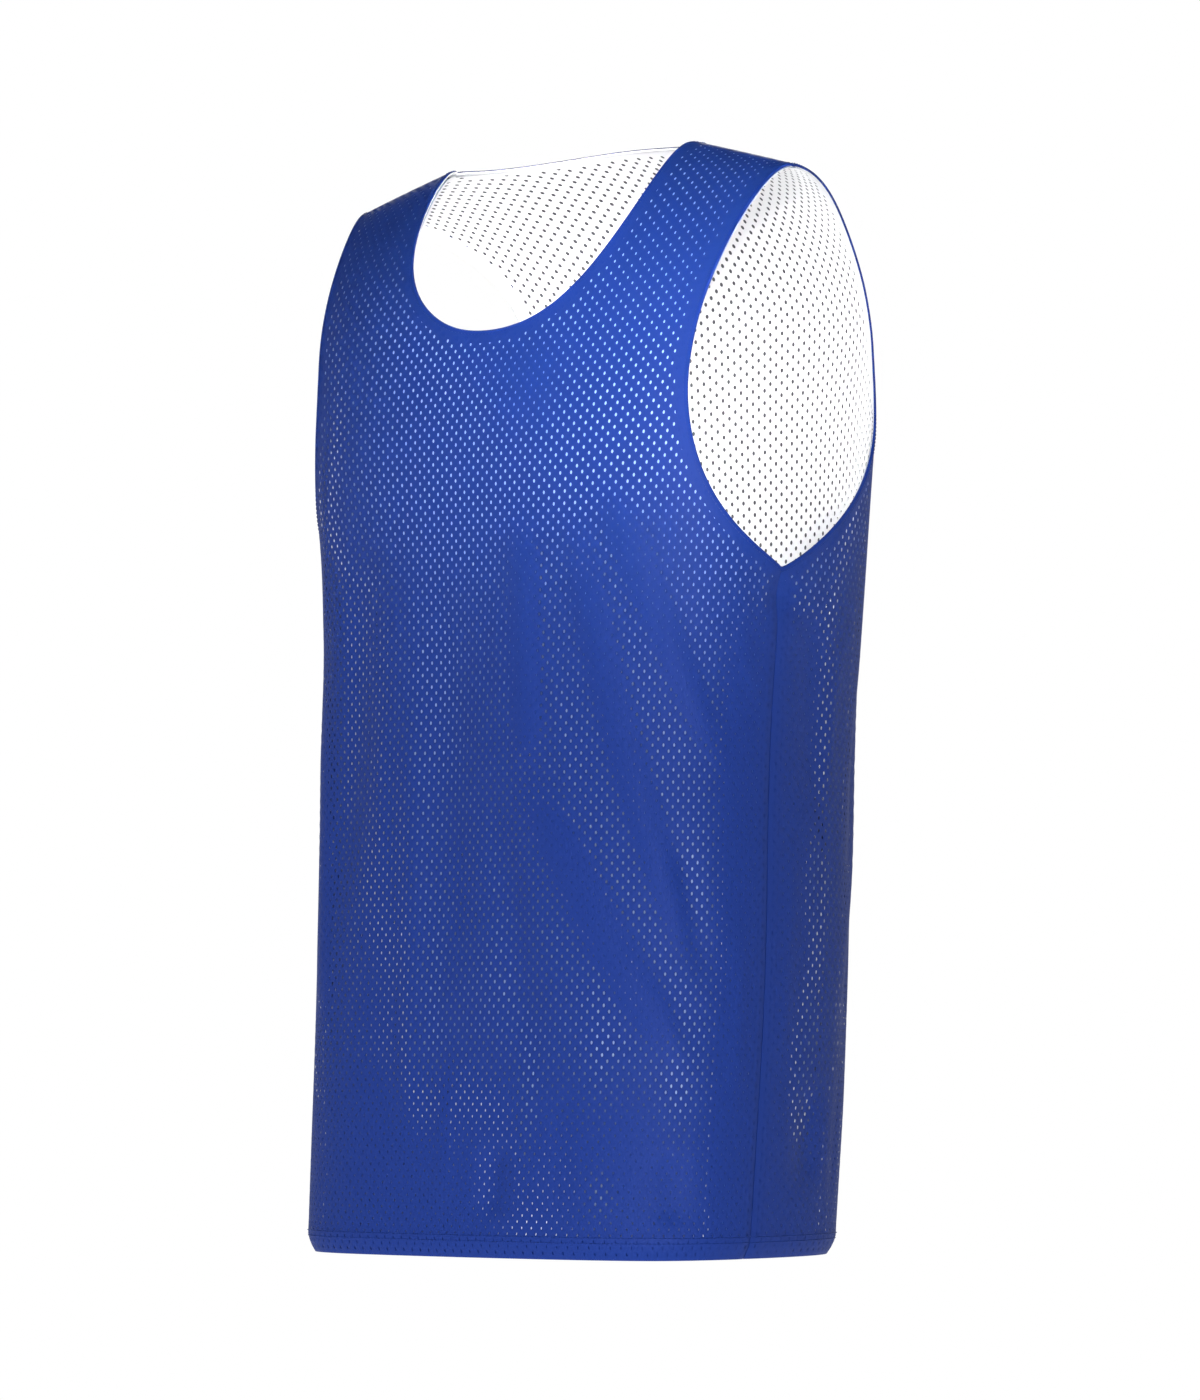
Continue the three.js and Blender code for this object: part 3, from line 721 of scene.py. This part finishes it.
edgeSizes = {
    "spacing": 4.0,
    "facing": [(0.9, -0.75), (4.5, -0.75), (9.0, -0.75), (9.6, -0.9)],
    "whiteFacing": [(0.9, -1.15), (4.5, -1.15), (9.2, -1.2)],
    "threadIn": 3.3,
}
rimProfile = {                  # mm in from the rim and out of the cloth, and where the colours meet
    "in": 3.4, "tuckWidth": 0.5, "flatTo": 2.0, "round": 1.15, "steps": 6, "innerReach": 2.6,
    "outer": 0.16, "tuck": 0.45, "ease": 0.05, "inner": -2.1, "innerTuck": 0.3,
    "meet": {"neck": 0.5, "armhole": 0.78},
}


# Part of the rolled rim's section: from the cloth's face to where blue and white meet near the rim.
def rimShape(kind, half):
    p = rimProfile
    middle = (p["outer"] + p["inner"]) / 2
    depth = (p["outer"] - p["inner"]) / 2
    meet = np.pi * p["meet"][kind]
    if half == "outer":
        turn = np.linspace(0, meet, p["steps"])
        across = np.r_[p["in"], p["in"] - p["tuckWidth"], p["flatTo"], p["round"] * (1 - np.sin(turn))]
        off = np.r_[p["outer"] - p["tuck"], p["outer"] - p["ease"], p["outer"], middle + depth * np.cos(turn)]
    else:
        turn = np.linspace(meet, np.pi, p["steps"])
        across = np.r_[p["round"] * (1 - np.sin(turn)), p["flatTo"], p["innerReach"]]
        off = np.r_[middle + depth * np.cos(turn), p["inner"], p["inner"] + p["innerTuck"]]
    return across, off


# A band carried round an edge: its section says how far in from the rim and out of the cloth each row lies.
def edgePiece(name, kind, mirror, across, offsets, material, slot, flip):
    points = edgeSurface(kind, mirror, edgeSizes["spacing"], across, offsets)
    rows, columns = points.shape[:2]
    along = np.arange(rows)[:, None] * edgeSizes["spacing"] + np.zeros(columns)
    reach = np.r_[0, np.cumsum(np.hypot(np.diff(across), np.diff(offsets)))][None, :] + np.zeros((rows, 1))
    uv = np.stack([along, reach], -1).reshape(-1, 2)
    faces = gridFaces(rows, columns, closed=True, flip=flip)
    return makePiece(name, points.reshape(-1, 3), faces, uv, [material])


edges = {"neckEdge": ("neck", 1, "neck_edge"), "armholeEdgeLeft": ("armhole", 1, "armhole_edge_left"),
         "armholeEdgeRight": ("armhole", -1, "armhole_edge_right")}
facing = np.array(edgeSizes["facing"]).T
whiteFacing = np.array(edgeSizes["whiteFacing"]).T
for name, (kind, mirror, node) in edges.items():
    turned = (kind == "neck") != (mirror < 0)
    rim = edgePiece(name + "Rim", kind, mirror, *rimShape(kind, "outer"), blueEdge, "royal_edge", not turned)
    edgePiece(name + "RimInside", kind, mirror, *rimShape(kind, "inner"), whiteEdge, "white_mesh", not turned)
    edgePiece(name + "Facing", kind, mirror, *facing, blueEdge, "royal_edge", turned)
    edgePiece(name + "WhiteFacing", kind, mirror, *whiteFacing, whiteEdge, "white_mesh", not turned)
    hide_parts(node)
print("turned edges made")


# hems and seam allowances

hemTurn = {"from": 0.3, "to": 15.6, "rows": 6, "offset": -1.5}
whiteHemTurn = {"from": 4.8, "to": 15.2, "rows": 5, "offset": -1.45}
hemColumns = 150
seamAllowance = {"wide": 11.5, "columns": 4, "from": 16, "belowUnderarm": 9, "rows": 60, "offset": -0.85}


# A strip of cloth on the panel between two ranges, at an offset from the panel's face.
def flatStrip(name, panel, s, h, offset, material, isOuter):
    grid = np.stack(np.meshgrid(s, h, indexing="ij"), -1)
    if not isOuter:
        offset = offset - layersApart(panel, grid[..., 0], grid[..., 1])
    points = onCloth(panel, grid[..., 0], grid[..., 1], offset, isOuter)
    rows, columns = points.shape[:2]
    faces = gridFaces(rows, columns, flip=panel["toward"] < 0)
    return makePiece(name, points.reshape(-1, 3), faces, grid.reshape(-1, 2), [material])


def heightsOf(turn):
    return np.linspace(turn["from"], turn["to"], turn["rows"])


for panel in (front, back):
    label = panel["name"].capitalize()
    width = np.linspace(-panel["quarter"], panel["quarter"], hemColumns)
    flatStrip("hemTurn" + label, panel, width, heightsOf(hemTurn), hemTurn["offset"] + hang["hemProud"],
              blueEdge, True)
    flatStrip("whiteHemTurn" + label, panel, width, heightsOf(whiteHemTurn), whiteHemTurn["offset"],
              whiteEdge, False)
    seamHeights = np.linspace(seamAllowance["from"], underarmHeight - seamAllowance["belowUnderarm"],
                              seamAllowance["rows"])
    near = np.linspace(panel["quarter"] - seamAllowance["wide"], panel["quarter"], seamAllowance["columns"])
    for places, word in ((near, "Left"), (-near[::-1], "Right")):
        flatStrip("seamAllowance" + label + word, panel, places, seamHeights, seamAllowance["offset"],
                  blueEdge, True)
print("hems and seam allowances made")


# stitches

stitchSizes = {                 # the profile gives shares of the length and of the radius along one stitch
    "length": 2.8, "gap": 0.5, "radius": 0.27, "sides": 5, "mapStep": 0.1,
    "profile": [(-0.5, 0.35), (-0.28, 1.0), (0.28, 1.0), (0.5, 0.35)],
    "edgeSpacing": 2.0, "hemEnds": 0.6, "hemPoints": 320,
}
stitchPlaces = {                # how far out of the cloth, and the heights of the two rows at the hem
    "outside": {"atEdge": 0.26, "atHem": 0.08, "heights": (11.4, 15.2)},
    "inside": {"atEdge": -2.1, "atHem": -1.95, "heights": (11.2, 14.4)},
}


# Values at the given distances along a path, straight between its points.
def readAlong(where, along, values):
    return np.stack([np.interp(where, along, values[:, k]) for k in range(3)], -1)


# Lens-shaped stitches laid end to end along a path: each a short spindle along the path's direction.
def stitchRow(points, normals, closed):
    size = stitchSizes
    sides, profile = size["sides"], size["profile"]
    nextOne = np.roll(points, -1, 0) if closed else points[1:]
    here = points if closed else points[:-1]
    steps = np.linalg.norm(nextOne - here, axis=1)
    along = np.r_[0, np.cumsum(steps)]
    pathPoints = np.vstack([points, points[:1]]) if closed else points
    pathNormals = np.vstack([normals, normals[:1]]) if closed else normals
    pitch = size["length"] + size["gap"]
    count = int(along[-1] / pitch)
    middle = (np.arange(count) + 0.5) * along[-1] / count
    centre = readAlong(middle, along, pathPoints)
    normal = readAlong(middle, along, pathNormals)
    normal /= np.linalg.norm(normal, axis=1, keepdims=True)
    ahead = readAlong(middle + size["length"] / 2, along, pathPoints)
    forward = ahead - readAlong(middle - size["length"] / 2, along, pathPoints)
    forward /= np.linalg.norm(forward, axis=1, keepdims=True)
    sideways = np.cross(normal, forward)
    turn = np.arange(sides) * 2 * np.pi / sides
    circle = np.cos(turn)[None, :, None] * sideways[:, None] + np.sin(turn)[None, :, None] * normal[:, None]
    tops = [centre[:, None] + forward[:, None] * size["length"] * t + circle * size["radius"] * r
            - normal[:, None] * size["radius"] * (1 - r) for t, r in profile]
    verts = np.stack(tops, 1).reshape(-1, 3)
    k = np.arange(sides)
    n = (k + 1) % sides
    quads = np.vstack([np.stack([b * sides + k, b * sides + n, (b + 1) * sides + n, (b + 1) * sides + k], -1)
                       for b in range(len(profile) - 1)])
    block = len(profile) * sides
    faces = (np.arange(count)[:, None, None] * block + quads[None]).reshape(-1, 4)
    uv = np.stack([np.repeat(middle, block), np.tile(np.arange(block) * size["mapStep"], count)], -1)
    return verts, faces, uv


# All rows of one thread as one piece.
def joinRows(name, rows, material):
    points, faces, uv, first = [], [], [], 0
    for verts, quads, coordinates in rows:
        points.append(verts)
        faces.append(quads + first)
        uv.append(coordinates)
        first += len(verts)
    return makePiece(name, np.vstack(points), np.vstack(faces), np.vstack(uv), [material])


def normalsAlong(panel, s, h):
    return outward(panel, np.asarray(s, float), np.asarray(h, float))


# Stitches round a turned edge, at one distance in from its rim.
def edgeStitches(kind, mirror, distance, offset, facing=1.0):
    points, normals = [], []
    for panel, outline, inward, side in edgeLoop(kind, stitchSizes["edgeSpacing"]):
        place = outline + inward * distance
        s, h = place[:, 0] * side * mirror, place[:, 1]
        points.append(onCloth(panel, s, h, offset))
        normals.append(normalsAlong(panel, s, h) * facing)
    return stitchRow(np.vstack(points), np.vstack(normals), True)


# Stitches along a hem at one height, from side seam to side seam.
def hemStitches(panel, height, offset, isOuter, facing=1.0):
    ends = stitchSizes["hemEnds"]
    s = np.linspace(-panel["quarter"] + ends, panel["quarter"] - ends, stitchSizes["hemPoints"])
    h = np.full(len(s), height)
    if not isOuter:
        offset = offset - layersApart(panel, s, h)
    points = onCloth(panel, s, h, offset, isOuter)
    return stitchRow(points, normalsAlong(panel, s, h) * facing, False)


threadIn = edgeSizes["threadIn"]
place = stitchPlaces["outside"]
outside = [edgeStitches(kind, mirror, threadIn, place["atEdge"]) for kind, mirror, node in edges.values()]
outside += [hemStitches(panel, height, hang["hemProud"] + place["atHem"], True)
            for panel in (front, back) for height in place["heights"]]
outsideStitches = joinRows("outsideStitches", outside, blueThread)
place = stitchPlaces["inside"]
inside = [edgeStitches(kind, mirror, threadIn, place["atEdge"], -1.0)
          for kind, mirror, node in edges.values()]
inside += [hemStitches(panel, height, place["atHem"], False, -1.0)
           for panel in (front, back) for height in place["heights"]]
insideStitches = joinRows("insideStitches", inside, whiteThread)
print("stitches made")

for panel in (front, back):
    label = panel["name"].capitalize()


# stage, light and camera

stageSizes = {"floorDrop": 0.30, "radius": 2.95, "points": 96, "paper": (0.86, 0.86, 0.87, 1),
              "roughness": 0.95, "glow": 0.66}


# A round pale floor that gives back some light of its own, below the hanging jersey.
def makeStage():
    size = stageSizes
    floor = cadBox[0][2] - size["floorDrop"]
    count = size["points"]
    turn = np.arange(count) * 2 * np.pi / count
    rim = np.stack([size["radius"] * np.cos(turn), size["radius"] * np.sin(turn), np.full(count, floor)], -1)
    mesh = bpy.data.meshes.new("paleFloor")
    mesh.from_pydata(rim.tolist(), [], [list(range(count))])
    piece = bpy.data.objects.new("paleFloor", mesh)
    bpy.context.scene.collection.objects.link(piece)
    material = bpy.data.materials.new("palePaper")
    material.use_nodes = True
    surface = material.node_tree.nodes["Principled BSDF"]
    surface.inputs["Base Color"].default_value = size["paper"]
    surface.inputs["Roughness"].default_value = size["roughness"]
    surface.inputs["Specular IOR Level"].default_value = 0.0
    surface.inputs["Emission Color"].default_value = (1, 1, 1, 1)
    surface.inputs["Emission Strength"].default_value = size["glow"]
    mesh.materials.append(material)


cameraView = {"azimuth": 40.7, "height": -0.644, "distance": 4.404, "aimSide": 0.0174, "aimHeight": -0.3914,
              "focalPixels": 6170.0, "imageWidth": 1200.0, "sensorWidth": 36.0, "seesTo": 50.0}


# The photo's camera, fitted to the outline: round the jersey by its azimuth and aimed at the middle line.
def makeCamera():
    a = math.radians(cameraView["azimuth"])
    away, aside = cameraView["distance"], cameraView["aimSide"]
    eye = Vector((away * math.sin(a), -away * math.cos(a), cameraView["height"]))
    aim = Vector((aside * math.cos(a), aside * math.sin(a), cameraView["aimHeight"]))
    data = bpy.data.cameras.new("photoCamera")
    data.sensor_fit = "HORIZONTAL"
    data.sensor_width = cameraView["sensorWidth"]
    data.lens = cameraView["focalPixels"] / cameraView["imageWidth"] * data.sensor_width
    data.clip_end = cameraView["seesTo"]
    camera = bpy.data.objects.new("photoCamera", data)
    camera.location = eye
    camera.rotation_euler = (aim - eye).to_track_quat("-Z", "Y").to_euler()
    bpy.context.scene.collection.objects.link(camera)
    bpy.context.scene.camera = camera


# Each lamp's azimuth from the front and its elevation and beam in degrees, its distance, size and aim in
# metres, and its power in watts.
lamps = [
    {"name": "keyLamp", "azimuth": 46, "elevation": -6, "distance": 2.5, "size": 0.9, "beam": 180,
     "power": 27.5, "aim": (0, 0, -0.39)},
    {"name": "chestLamp", "azimuth": 44, "elevation": 6, "distance": 1.9, "size": 0.34, "beam": 13,
     "power": 0.78, "aim": (0.09, -0.06, -0.13)},
    {"name": "fillLamp", "azimuth": 24, "elevation": -3, "distance": 3.4, "size": 0.7, "beam": 40,
     "power": 4.6, "aim": (0, 0, -0.78)},
    {"name": "backLamp", "azimuth": 222, "elevation": 22, "distance": 3.0, "size": 1.6, "beam": 180,
     "power": 42, "aim": (0, 0, -0.4)},
]
sky = {"whiteTo": 0.20, "dimFrom": 0.38, "white": 1.0, "dim": 0.05}


# The lamps, each turned to its aim, and a world that is white round the horizon and dim overhead.
def makeLights():
    for lamp in lamps:
        a, e = math.radians(lamp["azimuth"]), math.radians(lamp["elevation"])
        way = Vector((math.sin(a) * math.cos(e), -math.cos(a) * math.cos(e), math.sin(e)))
        data = bpy.data.lights.new(lamp["name"], "AREA")
        data.shape = "DISK"
        data.size = lamp["size"]
        data.spread = math.radians(lamp["beam"])
        data.energy = lamp["power"]
        light = bpy.data.objects.new(lamp["name"], data)
        light.location = Vector(lamp["aim"]) + way * lamp["distance"]
        light.rotation_euler = (-way).to_track_quat("-Z", "Y").to_euler()
        bpy.context.scene.collection.objects.link(light)
    world = bpy.data.worlds.new("studioWorld")
    world.use_nodes = True
    tree = world.node_tree
    background = tree.nodes["Background"]
    background.inputs["Color"].default_value = (1.0, 1.0, 1.0, 1)
    direction = tree.nodes.new("ShaderNodeTexCoord")
    axes = tree.nodes.new("ShaderNodeSeparateXYZ")
    tree.links.new(direction.outputs["Generated"], axes.inputs[0])
    fade = tree.nodes.new("ShaderNodeMapRange")
    fade.interpolation_type = "SMOOTHSTEP"
    fade.inputs["From Min"].default_value = sky["whiteTo"]
    fade.inputs["From Max"].default_value = sky["dimFrom"]
    fade.inputs["To Min"].default_value = sky["white"]
    fade.inputs["To Max"].default_value = sky["dim"]
    tree.links.new(axes.outputs["Z"], fade.inputs["Value"])
    tree.links.new(fade.outputs["Result"], background.inputs["Strength"])
    bpy.context.scene.world = world
    bpy.context.scene.view_settings.view_transform = "Standard"


makeStage()
makeCamera()
makeLights()
print("stage, light and camera made")
